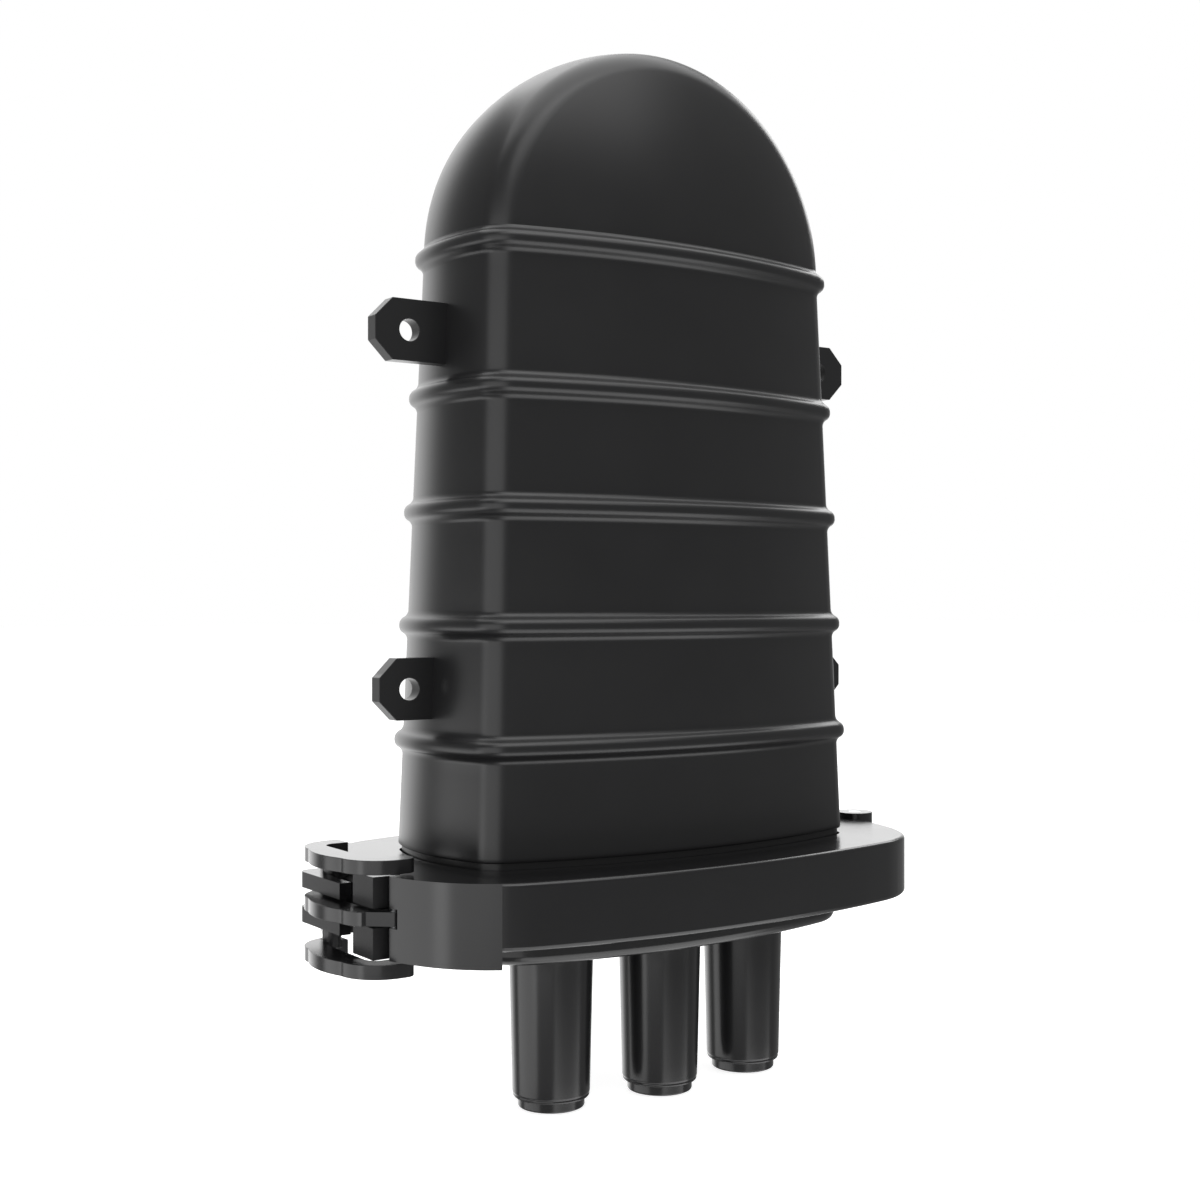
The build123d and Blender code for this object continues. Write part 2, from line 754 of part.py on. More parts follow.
def make_tray(index):
    """One splice tray: a rounded dish with a fibre ring, and hinge ears with trunnions."""
    front = tray_front(index)
    rear = front + tray_depth
    height = tray_top - tray_bottom
    middle_z = (tray_top + tray_bottom) / 2
    plan = RectangleRounded(2 * tray_half_width, height, tray_corner)
    dish = Pos(0, rear, middle_z) * Rot(90, 0, 0) * extrude(plan, tray_depth)
    room = Pos(0, rear - tray_floor, middle_z) * Rot(90, 0, 0) * extrude(
        offset(plan, -tray_wall), tray_depth)
    dish -= room
    for z in (tray_bottom + coil_ring_inset, tray_top - coil_ring_inset):
        ring = rod_y(0, z, front + 2, rear - tray_floor / 2, coil_ring_radius)
        dish += ring - rod_y(0, z, front - 1, rear - tray_floor, coil_ring_bore)
    axis_y = front + tray_depth / 2
    for sx in (-1, 1):
        ear = slab(sx * (tray_ear_half - 6), sx * tray_ear_half, axis_y - 2.6, axis_y + 2.6,
                   hinge_axis_z() - 2.6, tray_bottom + tray_wall)
        pin = rod_x(axis_y, hinge_axis_z(), sx * (tray_ear_half - 1),
                    sx * hinge_block_half_width, trunnion_radius)
        dish += ear + pin
    return dish


def make_holder(index):
    """Splice holder: a comb of grooves for protected splices, seated on its tray's floor."""
    floor_y = tray_front(index) + tray_depth - tray_floor
    middle_z = (tray_top + tray_bottom) / 2
    comb = slab(-holder_half_width, holder_half_width, floor_y - holder_depth, floor_y,
                middle_z - holder_height / 2, middle_z + holder_height / 2)
    pitch = 2 * holder_half_width / (holder_slots + 0.5)
    for slot in range(holder_slots):
        x = -holder_half_width + pitch * (slot + 0.75)
        comb -= slab(x - pitch * 0.3, x + pitch * 0.3, floor_y - holder_depth - 1,
                     floor_y - 1.2, middle_z - holder_height, middle_z + holder_height)
    return comb


def make_lid():
    """Clear lid over the front tray."""
    front = tray_front(tray_count - 1)
    middle_z = (tray_top + tray_bottom) / 2
    plan = RectangleRounded(2 * tray_half_width, tray_top - tray_bottom, tray_corner)
    return Pos(0, front, middle_z) * Rot(90, 0, 0) * extrude(plan, lid_thick)


def make_strap():
    """Hook-and-loop strap round the trays and the carrier."""
    front = tray_front(tray_count - 1) - lid_thick
    rear = carrier_y + carrier_thick
    clear = strap_gap
    x_in = tray_half_width + clear
    outer = slab(-x_in - strap_thick, x_in + strap_thick, front - clear - strap_thick,
                 rear + clear + strap_thick, strap_z - strap_width / 2, strap_z + strap_width / 2)
    inner = slab(-x_in, x_in, front - clear, rear + clear,
                 strap_z - strap_width, strap_z + strap_width)
    outer = fillet(outer.edges().filter_by(Axis.Z), 4.0)
    return outer - inner


def make_slack_basket():
    """Open tray behind the carrier for slack buffer tubes, with two retaining lips."""
    front = carrier_y + carrier_thick
    middle_z = (slack_bottom + slack_top) / 2
    plan = RectangleRounded(2 * slack_half_width, slack_top - slack_bottom, 14)
    dish = Pos(0, front + slack_depth, middle_z) * Rot(90, 0, 0) * extrude(plan, slack_depth)
    room = Pos(0, front + slack_depth + 1, middle_z) * Rot(90, 0, 0) * extrude(
        offset(plan, -slack_wall), slack_depth + 1 - slack_wall)
    dish -= room
    for sx in (-1, 1):
        dish += slab(sx * (slack_half_width - 14), sx * (slack_half_width - slack_wall),
                     front + slack_depth - slack_wall, front + slack_depth,
                     middle_z - 6, middle_z + 6)
    for x in slack_screw_places():
        dish -= rod_y(x, slack_screw_z(), front - 1, front + slack_wall + 1, screw_radius + 0.25)
    return dish


def slack_screw_places():
    """Sideways positions of the basket's two screws."""
    return (-slack_half_width / 2, slack_half_width / 2)


def slack_screw_z():
    """Height of the basket's screws."""
    return (slack_bottom + slack_top) / 2


def bar_places():
    """Plan positions of the cable bar's two pillars."""
    return [(-bar_pillar_x, bar_pillar_y), (bar_pillar_x, bar_pillar_y)]


def yoke_z():
    """Height of the yokes' screws."""
    return bar_z + bar_ear_height - 8


def make_cable_bar():
    """Folded bar over the ports with one ear for each cable."""
    bar = slab(-bar_half_width, bar_half_width, bar_y, bar_y + bar_depth, bar_z, bar_z + bar_thick)
    for x in (-port_pitch, 0, port_pitch):
        bar += slab(x - bar_ear_width / 2, x + bar_ear_width / 2, bar_y, bar_y + bar_thick,
                    bar_z, bar_z + bar_ear_height)
        bar -= rod_y(x, yoke_z(), bar_y - 1, bar_y + bar_thick + 1, screw_radius)
    for x, y in bar_places():
        bar -= rod(x, y, bar_z - 1, bar_z + bar_thick + 1, screw_radius + 0.25)
    return bar


def make_yoke(x):
    """Clamp yoke for a cable's strength member, against its ear."""
    z = yoke_z()
    yoke = slab(x - yoke_width / 2, x + yoke_width / 2, bar_y - yoke_thick, bar_y,
                z - yoke_height / 2, z + yoke_height / 2)
    yoke -= rod_x(bar_y, z - yoke_height / 3, x - yoke_width, x + yoke_width, 1.2)
    return yoke - rod_y(x, z, bar_y - yoke_thick - 1, bar_y + 1, screw_radius + 0.25)


def write(name, shape):
    """Write one node, with the centre of the four tab holes as origin."""
    rise = (tab_heights[0] + tab_heights[1]) / 2
    export_step(Pos(0, 0, -rise) * shape, f"parts/{name}.step")


write("dome_cover", make_dome())
write("base_body", make_base())
write("seal_ring", seal_groove(0, -seal_height, 0))
write("clamp_front", make_clamp(True))
write("clamp_rear", make_clamp(False))
write("clamp_hinge_pin", make_hinge_pin())
write("latch_lever", make_lever())
write("latch_keeper_pin", make_keeper())
write("tray_carrier", make_carrier())
write("carrier_screws", Compound([screw(x, y, foot_top()) for x, y in boss_places()]))
write("tray_hinge_block", make_hinge_block())
block_screw_z = hinge_block_z + hinge_block_height / 2
carrier_back = carrier_y + carrier_thick
write("hinge_block_screws", Compound([
    screw_back(sx * hinge_block_half_width / 2, block_screw_z, carrier_back, 5.0)
    for sx in (-1, 1)]))
for number in range(tray_count):
    write(f"splice_tray_{number + 1}", make_tray(number))
    write(f"splice_holder_{number + 1}", make_holder(number))
write("tray_lid", make_lid())
write("tray_strap", make_strap())
write("slack_basket", make_slack_basket())
write("slack_basket_screws", Compound([
    screw_back(x, slack_screw_z(), carrier_back + slack_wall, 5.0) for x in slack_screw_places()]))
write("cable_bar", make_cable_bar())
write("cable_bar_screws", Compound([screw(x, y, bar_z + bar_thick) for x, y in bar_places()]))
for name, x in (("left", -port_pitch), ("middle", 0), ("right", port_pitch)):
    write(f"strength_yoke_{name}", make_yoke(x))
write("yoke_screws", Compound([
    screw_y(x, yoke_z(), bar_y - yoke_thick, yoke_screw_length) for x in (-port_pitch, 0, port_pitch)]))
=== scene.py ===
# Dome fibre splice closure: a drafted, bowed dome of black plastic, 0.36 m tall, stands
# on a base with three closed cable ports, and an oval two-part clamp with a snap lever
# holds the two together over a seal ring.  Inside are a tray carrier and its fittings.
import math

import bmesh
import bpy
import numpy as np
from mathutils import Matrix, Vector


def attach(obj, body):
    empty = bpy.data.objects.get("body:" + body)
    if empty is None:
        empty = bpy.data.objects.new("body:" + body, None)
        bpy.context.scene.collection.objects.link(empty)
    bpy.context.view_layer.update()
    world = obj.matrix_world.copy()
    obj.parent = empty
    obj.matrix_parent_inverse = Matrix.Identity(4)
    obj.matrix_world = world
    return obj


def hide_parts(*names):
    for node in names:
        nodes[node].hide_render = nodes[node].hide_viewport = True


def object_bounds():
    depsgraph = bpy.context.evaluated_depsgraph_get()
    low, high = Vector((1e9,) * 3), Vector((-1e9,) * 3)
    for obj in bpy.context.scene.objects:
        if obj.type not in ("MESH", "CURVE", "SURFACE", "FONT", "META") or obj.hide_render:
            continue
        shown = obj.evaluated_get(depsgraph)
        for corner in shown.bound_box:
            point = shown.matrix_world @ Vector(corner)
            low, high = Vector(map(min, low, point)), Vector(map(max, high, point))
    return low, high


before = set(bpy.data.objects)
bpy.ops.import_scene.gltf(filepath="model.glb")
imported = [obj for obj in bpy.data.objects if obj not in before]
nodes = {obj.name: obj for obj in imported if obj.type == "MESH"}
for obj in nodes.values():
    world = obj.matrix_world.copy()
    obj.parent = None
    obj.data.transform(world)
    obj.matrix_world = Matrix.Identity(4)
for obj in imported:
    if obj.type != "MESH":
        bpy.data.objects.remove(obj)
cad_low, cad_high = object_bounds()
scene = bpy.context.scene

# The photograph's viewpoint: level, a little to the left of the front, at mid height
camera_data = bpy.data.cameras.new("photo_camera")
camera_data.lens = 49.70
camera_data.sensor_width = 36.0
camera_data.clip_start = 0.01
camera = bpy.data.objects.new("photo_camera", camera_data)
camera.location = (-0.42723, -0.59395, -0.03639)
camera.rotation_euler = (math.radians(90), 0, math.radians(-34.794))
scene.collection.objects.link(camera)
scene.camera = camera

# Pale floor under the ports, white to the camera and left out of the reflections
floor_mesh = bpy.data.meshes.new("studio_floor")
floor_z = cad_low.z - 0.0005
floor_mesh.from_pydata([(-12, -12, floor_z), (12, -12, floor_z), (12, 12, floor_z), (-12, 12, floor_z)],
                       [], [(0, 1, 2, 3)])
floor = bpy.data.objects.new("studio_floor", floor_mesh)
scene.collection.objects.link(floor)
floor.visible_glossy = False
floor.visible_diffuse = False
floor.visible_shadow = False
floor_paint = bpy.data.materials.new("floor_paint")
floor_paint.use_nodes = True
tree = floor_paint.node_tree
tree.nodes.clear()
out = tree.nodes.new("ShaderNodeOutputMaterial")
matt = tree.nodes.new("ShaderNodeBsdfDiffuse")
matt.inputs["Color"].default_value = (0.82, 0.82, 0.82, 1)
lift = tree.nodes.new("ShaderNodeEmission")
lift.inputs["Color"].default_value = (1, 1, 1, 1)
lift.inputs["Strength"].default_value = 0.80
path = tree.nodes.new("ShaderNodeLightPath")
add = tree.nodes.new("ShaderNodeAddShader")
mix = tree.nodes.new("ShaderNodeMixShader")
tree.links.new(matt.outputs[0], add.inputs[0])
tree.links.new(lift.outputs[0], add.inputs[1])
tree.links.new(path.outputs["Is Camera Ray"], mix.inputs[0])
tree.links.new(matt.outputs[0], mix.inputs[1])
tree.links.new(add.outputs[0], mix.inputs[2])
tree.links.new(mix.outputs[0], out.inputs[0])
floor_mesh.materials.append(floor_paint)

# Room light: white to the camera, and in reflections bright behind the object, most
# so a little to its left, and dim on all other sides
world = bpy.data.worlds.new("studio_room")
scene.world = world
world.use_nodes = True
tree = world.node_tree
tree.nodes.clear()
out = tree.nodes.new("ShaderNodeOutputWorld")
coord = tree.nodes.new("ShaderNodeTexCoord")
toward_back = tree.nodes.new("ShaderNodeVectorMath")
toward_back.operation = "DOT_PRODUCT"
toward_back.inputs[1].default_value = (0.30, 0.953, 0.05)
ramp = tree.nodes.new("ShaderNodeMapRange")
ramp.interpolation_type = "SMOOTHSTEP"
ramp.inputs["From Min"].default_value = 0.66
ramp.inputs["From Max"].default_value = 0.90
ramp.inputs["To Min"].default_value = 0.34
ramp.inputs["To Max"].default_value = 2.4
room = tree.nodes.new("ShaderNodeBackground")
white = tree.nodes.new("ShaderNodeBackground")
white.inputs["Color"].default_value = (1, 1, 1, 1)
path = tree.nodes.new("ShaderNodeLightPath")
mix = tree.nodes.new("ShaderNodeMixShader")
tree.links.new(coord.outputs["Generated"], toward_back.inputs[0])
tree.links.new(toward_back.outputs["Value"], ramp.inputs["Value"])
tree.links.new(ramp.outputs["Result"], room.inputs["Strength"])
tree.links.new(path.outputs["Is Camera Ray"], mix.inputs[0])
tree.links.new(room.outputs[0], mix.inputs[1])
tree.links.new(white.outputs[0], mix.inputs[2])
tree.links.new(mix.outputs[0], out.inputs[0])

# Soft panels above, below and in front, each aimed at the object's middle or ports
for lamp_name, place, aim, width, height, power in (
        ("overhead_softbox", (0.15, 0.1, 1.7), (0.0, 0.0, 0.0), 2.4, 2.4, 34.0),
        ("front_high_panel", (-0.1, -1.3, 1.6), (0.0, 0.0, 0.0), 2.4, 0.9, 12.0),
        ("front_low_panel", (0.4, -1.5, -1.5), (0.0, 0.0, -0.1), 3.2, 1.4, 27.0),
        ("left_front_panel", (-1.43, -0.93, 0.05), (0.0, 0.0, 0.0), 1.96, 1.4, 11.0),
        ("left_low_panel", (-1.5, 0.4, -0.5), (0.0, 0.0, -0.2), 1.9, 0.75, 8.0),
        ("right_key_panel", (1.27, 0.44, 0.8), (0.0, 0.0, 0.0), 0.6, 0.6, 4.0),
        ("under_softbox", (0.2, 0.1, -1.6), (0.0, 0.0, -0.2), 2.0, 2.0, 18.0)):
    lamp = bpy.data.lights.new(lamp_name, "AREA")
    lamp.shape = "RECTANGLE"
    lamp.size = width
    lamp.size_y = height
    lamp.energy = power
    holder = bpy.data.objects.new(lamp_name, lamp)
    holder.location = place
    holder.rotation_euler = (Vector(aim) - Vector(place)).to_track_quat("-Z", "Y").to_euler()
    scene.collection.objects.link(holder)

scene.view_settings.view_transform = "Standard"

# Moulding skin: the faint mottle and fine grain that all moulded plastics here
# share, as one group that each plastic uses with its own grain size and roughness.
skin = bpy.data.node_groups.new("moulding_skin", "ShaderNodeTree")
for socket, default in (("Grain Size", 0.00035), ("Grain Depth", 0.25), ("Mottle Size", 0.03),
                        ("Roughness", 0.3), ("Roughness Spread", 0.06)):
    made = skin.interface.new_socket(name=socket, in_out="INPUT", socket_type="NodeSocketFloat")
    made.default_value = default
for socket in ("Roughness", "Height", "Mottle"):
    skin.interface.new_socket(name=socket, in_out="OUTPUT", socket_type="NodeSocketFloat")
entry = skin.nodes.new("NodeGroupInput")
leave = skin.nodes.new("NodeGroupOutput")
where = skin.nodes.new("ShaderNodeTexCoord")


def scaled_noise(size_socket, detail):
    """Noise whose blobs have the size, in metres, that the group's input gives."""
    turn = skin.nodes.new("ShaderNodeMath")
    turn.operation = "DIVIDE"
    turn.inputs[0].default_value = 1.0
    skin.links.new(entry.outputs[size_socket], turn.inputs[1])
    noise = skin.nodes.new("ShaderNodeTexNoise")
    noise.inputs["Detail"].default_value = detail
    skin.links.new(where.outputs["Object"], noise.inputs["Vector"])
    skin.links.new(turn.outputs[0], noise.inputs["Scale"])
    return noise.outputs["Fac"]


grain = scaled_noise("Grain Size", 2.0)
mottle = scaled_noise("Mottle Size", 3.0)
centred = skin.nodes.new("ShaderNodeMath")
centred.operation = "SUBTRACT"
centred.inputs[1].default_value = 0.5
skin.links.new(mottle, centred.inputs[0])
spread = skin.nodes.new("ShaderNodeMath")
spread.operation = "MULTIPLY_ADD"
skin.links.new(centred.outputs[0], spread.inputs[0])
skin.links.new(entry.outputs["Roughness Spread"], spread.inputs[1])
skin.links.new(entry.outputs["Roughness"], spread.inputs[2])
depth = skin.nodes.new("ShaderNodeMath")
depth.operation = "MULTIPLY"
skin.links.new(grain, depth.inputs[0])
skin.links.new(entry.outputs["Grain Depth"], depth.inputs[1])
skin.links.new(spread.outputs[0], leave.inputs["Roughness"])
skin.links.new(depth.outputs[0], leave.inputs["Height"])
skin.links.new(mottle, leave.inputs["Mottle"])


def moulded_plastic(name, dark, light, roughness, spread_by, grain_size, bump, specular=0.5, alpha=1.0):
    """A moulded plastic that runs between two close tones, with the shared skin."""
    material = bpy.data.materials.new(name)
    material.use_nodes = True
    tree = material.node_tree
    shader = tree.nodes["Principled BSDF"]
    group = tree.nodes.new("ShaderNodeGroup")
    group.node_tree = skin
    group.inputs["Roughness"].default_value = roughness
    group.inputs["Roughness Spread"].default_value = spread_by
    group.inputs["Grain Size"].default_value = grain_size
    tones = tree.nodes.new("ShaderNodeMix")
    tones.data_type = "RGBA"
    tones.inputs[6].default_value = (*dark, 1)
    tones.inputs[7].default_value = (*light, 1)
    relief = tree.nodes.new("ShaderNodeBump")
    relief.inputs["Strength"].default_value = bump
    relief.inputs["Distance"].default_value = 0.0001
    tree.links.new(group.outputs["Mottle"], tones.inputs[0])
    tree.links.new(tones.outputs[2], shader.inputs["Base Color"])
    tree.links.new(group.outputs["Roughness"], shader.inputs["Roughness"])
    tree.links.new(group.outputs["Height"], relief.inputs["Height"])
    tree.links.new(relief.outputs["Normal"], shader.inputs["Normal"])
    shader.inputs["Specular IOR Level"].default_value = specular
    shader.inputs["Alpha"].default_value = alpha
    return material


# Dome cover: one injection moulding in black polypropylene.  Its four sides are
# bowed and drafted, its top is the same section turned over as an arch, and five
# S-flanked ribs, four wall tabs and a clamping flange stand out of it.
black_plastic = moulded_plastic("black_plastic", (0.0075, 0.0075, 0.008), (0.0105, 0.0105, 0.011),
                                0.32, 0.05, 0.0006, 0.06)
# Heights are above the seal plane, which lies this far below the tab holes' middle
seal_rise = 0.15545
dome_half_width, dome_half_depth = 0.1028, 0.05435
dome_bow, dome_end_bow, dome_corner = 0.290, 0.0914, 0.0142
draft_width, draft_depth = 0.0427, 0.0378
dome_wall = 0.004
foot_z, arch_base_z = 0.0156, 0.264
rib_heights = (0.2631, 0.2045, 0.1562, 0.1085, 0.0602)
rib_half, rib_crest_half, rib_proud = 0.0064, 0.0003, 0.0036
foot_round, neck_inset = 0.0008, 0.0015


def bowed_ring(half_width, half_depth, bow, end_bow, corner, grow=0.0, steps=(9, 12, 15)):
    """Points round an oval of two long bows, two end bows and four corner arcs."""
    half_x, half_y = half_width + grow, half_depth + grow
    bow_radius, end_radius, corner_radius = bow + grow, end_bow + grow, corner + grow
    bow_centre = np.array((0.0, half_y - bow_radius))
    end_centre = np.array((half_x - end_radius, 0.0))
    apart = np.hypot(*(end_centre - bow_centre))
    across = (end_centre - bow_centre) / apart
    bow_reach, end_reach = bow_radius - corner_radius, end_radius - corner_radius
    along = (bow_reach ** 2 - end_reach ** 2 + apart ** 2) / (2 * apart)
    off = math.sqrt(bow_reach ** 2 - along ** 2)
    corner_centre = bow_centre + across * along + np.array((across[1], -across[0])) * off
    front_angle = math.atan2(*(corner_centre - bow_centre)[::-1])
    end_angle = math.atan2(*(corner_centre - end_centre)[::-1])
    quarter = []
    for centre, radius, start, stop, count in (
            (end_centre, end_radius, 0.0, end_angle, steps[0]),
            (corner_centre, corner_radius, end_angle, front_angle, steps[1]),
            (bow_centre, bow_radius, front_angle, math.pi / 2, steps[2])):
        for step in range(count):
            t = start + (stop - start) * step / count
            quarter.append(centre + radius * np.array((math.cos(t), math.sin(t))))
    right = np.vstack([quarter, (0.0, half_y)])
    left = right[::-1][1:] * (-1, 1)
    rear = np.vstack([right, left])
    front = rear[::-1][1:-1] * (1, -1)
    return np.vstack([rear, front])


def dome_ring(z, grow=0.0):
    """The dome's section at a height above the seal plane."""
    flat = bowed_ring(dome_half_width - draft_width * z, dome_half_depth - draft_depth * z,
                      dome_bow, dome_end_bow, dome_corner, grow)
    return np.column_stack([flat, np.full(len(flat), z)])


# The flange follows the clamp's oval, set in from it, and tapers towards the dome
band_half_width, band_half_depth = 0.1335, 0.0793
band_bow, band_end_bow, band_corner = 0.420, 0.102, 0.0484
flange_inset, flange_taper = 0.0053, 0.012
flange_rim_z, flange_top_z = 0.005, 0.009


def flange_ring(z, inset):
    """The clamp's oval at a height, shrunk to the flange."""
    flat = bowed_ring(band_half_width, band_half_depth, band_bow, band_end_bow, band_corner, -inset)
    return np.column_stack([flat, np.full(len(flat), z)])


def rib_rise(h):
    """How far a rib stands out at a height from its middle: flat crest, S flanks."""
    h = abs(h)
    if h <= rib_crest_half:
        return rib_proud
    if h >= rib_half:
        return 0.0
    run = rib_half - rib_crest_half
    turn = 2 * math.atan2(rib_proud, run)
    radius = run / (2 * math.sin(turn))
    s = rib_half - h
    if s <= run / 2:
        return radius - math.sqrt(max(radius ** 2 - s ** 2, 0))
    s = run - s
    return rib_proud - radius + math.sqrt(max(radius ** 2 - s ** 2, 0))


def skin_of(rings):
    """Faces between rings that have the same number of points."""
    faces = []
    n = len(rings[0])
    for level in range(len(rings) - 1):
        for i in range(n):
            j = (i + 1) % n
            faces.append((level * n + i, level * n + j, (level + 1) * n + j, (level + 1) * n + i))
    return faces


def new_piece(name, verts, faces, smooth_angle):
    """A mesh object at the origin, its doubles merged, normals outwards, edges over an angle sharp."""
    mesh = bpy.data.meshes.new(name)
    mesh.from_pydata([tuple(v) for v in verts], [], faces)
    work = bmesh.new()
    work.from_mesh(mesh)
    bmesh.ops.remove_doubles(work, verts=work.verts, dist=1e-6)
    bmesh.ops.dissolve_degenerate(work, edges=work.edges, dist=1e-7)
    bmesh.ops.recalc_face_normals(work, faces=work.faces)
    work.to_mesh(mesh)
    work.free()
    for polygon in mesh.polygons:
        polygon.use_smooth = True
    mesh.set_sharp_from_angle(angle=math.radians(smooth_angle))
    piece = bpy.data.objects.new(name, mesh)
    scene.collection.objects.link(piece)
    return piece


# The wall's levels from the rounded foot up: even ones between ribs, close ones on them
levels = []
for step in range(4):
    t = step / 3 * math.pi / 2
    levels.append((foot_z + foot_round * (1 - math.cos(t)), -foot_round * (1 - math.sin(t))))
first_level, level_gap = foot_z + 0.002, 0.0005
heights = set(np.linspace(first_level, arch_base_z, 40).tolist())
for centre in rib_heights:
    heights = {h for h in heights if abs(h - centre) > rib_half + level_gap}
    for h in np.linspace(-rib_half, rib_half, 29):
        heights.add(centre + h)
heights.add(arch_base_z)
heights = sorted(h for h in heights if h <= arch_base_z)
for h in heights:
    levels.append((h, sum(rib_rise(h - centre) for centre in rib_heights)))
outer = [flange_ring(0.0, flange_inset), flange_ring(flange_rim_z, flange_inset),
         flange_ring(flange_top_z, flange_inset + flange_taper),
         dome_ring(flange_top_z, -neck_inset), dome_ring(foot_z, -neck_inset)]
outer += [dome_ring(z, grow) for z, grow in levels]


def arch_rings(grow, rows):
    """The section's half turned over the top, as rings from one foot of the arch to the other."""
    flat = bowed_ring(dome_half_width - draft_width * arch_base_z,
                      dome_half_depth - draft_depth * arch_base_z,
                      dome_bow, dome_end_bow, dome_corner, grow)
    quarter_count = len(flat) // 4
    half = np.vstack([flat[-quarter_count:], flat[:quarter_count + 1]])
    rings = []
    for row in range(rows + 1):
        t = math.pi * row / rows
        x = half[:, 0] * math.cos(t)
        z = arch_base_z + half[:, 0] * math.sin(t)
        rings.append(np.column_stack([x, half[:, 1], z]))
    return rings


def open_skin(rings):
    """Faces between open rows of points."""
    n = len(rings[0])
    return [(r * n + i, r * n + i + 1, (r + 1) * n + i + 1, (r + 1) * n + i)
            for r in range(len(rings) - 1) for i in range(n - 1)]


verts, faces = [], []


def add_sheet(rings, make_faces):
    """Adds rings of points and their faces to the mesh that is being gathered."""
    start = len(verts)
    for ring in rings:
        verts.extend(ring.tolist())
    faces.extend(tuple(start + i for i in face) for face in make_faces(rings))


top_rib = rib_heights[0]
last_h = arch_base_z - top_rib
add_sheet(outer, skin_of)
inner = [dome_ring(z, -dome_wall) for z in np.linspace(0.0, arch_base_z, 12)]
add_sheet([outer[0], inner[0]], skin_of)
add_sheet(inner, skin_of)
add_sheet(arch_rings(0.0, 96), open_skin)
add_sheet(arch_rings(-dome_wall, 48), open_skin)
# Upper flank of the top rib, from the arch's foot level up to where it meets the arch,
# and then tucked under the arch's skin
tuck_rise, tuck_depth = 0.0002, 0.0010
flank = [dome_ring(arch_base_z, rib_rise(last_h))]
for h in np.linspace(last_h, rib_half, 14)[1:]:
    flank.append(dome_ring(top_rib + h, rib_rise(h)))
flank.append(dome_ring(top_rib + rib_half + tuck_rise, -tuck_depth))
add_sheet(flank, skin_of)
verts = np.array(verts)
verts[:, 2] -= seal_rise
dome = new_piece("dome_shell", verts, faces, 32)
dome.data.materials.append(black_plastic)

# Wall tabs: four plates with clipped corners round a bolt hole, each a ring of points
# outside and inside, joined between its two faces
tab_half_thick, tab_half_tall, tab_root = 0.0033, 0.0125, 0.002
tab_clip, tab_end_half = 0.0078, 0.0047
tab_hole_x, tab_hole_radius = 0.110, 0.0045
hole_sides = 36
tab_verts, tab_faces = [], []
for side in (1, -1):
    for height, end_x in ((0.2277, 0.1254), (0.0832, 0.1236)):
        root_x = dome_half_width - draft_width * height - tab_root
        corners = [(end_x, -tab_end_half), (end_x, tab_end_half),
                   (end_x - tab_clip, tab_half_tall), (root_x, tab_half_tall),
                   (root_x, -tab_half_tall), (end_x - tab_clip, -tab_half_tall)]
        centre = (tab_hole_x, 0.0)
        to_corners = {round(math.atan2(z, x - tab_hole_x) % (2 * math.pi), 6) for x, z in corners}
        round_hole = {round(2 * math.pi * k / hole_sides, 6) for k in range(hole_sides)}
        angles = sorted(to_corners | round_hole)
        rim, hole = [], []
        for angle in angles:
            direction = np.array((math.cos(angle), math.sin(angle)))
            reach = 1.0
            for p, q in zip(corners, corners[1:] + corners[:1]):
                edge = np.array(q) - np.array(p)
                cross = direction[0] * edge[1] - direction[1] * edge[0]
                if abs(cross) < 1e-9:
                    continue
                gap = np.array(p) - np.array(centre)
                far = (gap[0] * edge[1] - gap[1] * edge[0]) / cross
                if far > 0:
                    reach = min(reach, far)
            rim.append(np.array(centre) + direction * reach)
            hole.append(np.array(centre) + direction * tab_hole_radius)
        count = len(angles)
        start = len(tab_verts)
        for loop, y in ((hole, -tab_half_thick), (rim, -tab_half_thick),
                        (rim, tab_half_thick), (hole, tab_half_thick)):
            for x, z in loop:
                tab_verts.append((side * x, y, z + height - seal_rise))
        for ring in range(4):
            here, beyond = ring * count, ((ring + 1) % 4) * count
            for i in range(count):
                j = (i + 1) % count
                tab_faces.append(tuple(start + k for k in (here + i, here + j, beyond + j, beyond + i)))
tabs = new_piece("dome_tabs", tab_verts, tab_faces, 30)
rounding = tabs.modifiers.new("edges", "BEVEL")
rounding.width = 0.0005
rounding.segments = 3
rounding.limit_method = "ANGLE"
rounding.angle_limit = math.radians(35)
rounding.harden_normals = True
tabs.data.materials.append(black_plastic)


def finished(piece):
    """The piece with its modifiers worked into its mesh."""
    graph = bpy.context.evaluated_depsgraph_get()
    mesh = bpy.data.meshes.new_from_object(piece.evaluated_get(graph))
    piece.modifiers.clear()
    piece.data = mesh
    return piece


finished(tabs)
for piece in (dome, tabs):
    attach(piece, "closure")
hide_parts("dome_cover")

# Clamp, base and latch lever: mouldings in a harder, glossier black than the dome,
# made from the form of their own solids, with the mould's small edge roundings.
hard_plastic = moulded_plastic("hard_black_plastic", (0.0075, 0.0075, 0.008), (0.0105, 0.0105, 0.011),
                               0.22, 0.04, 0.0006, 0.05)


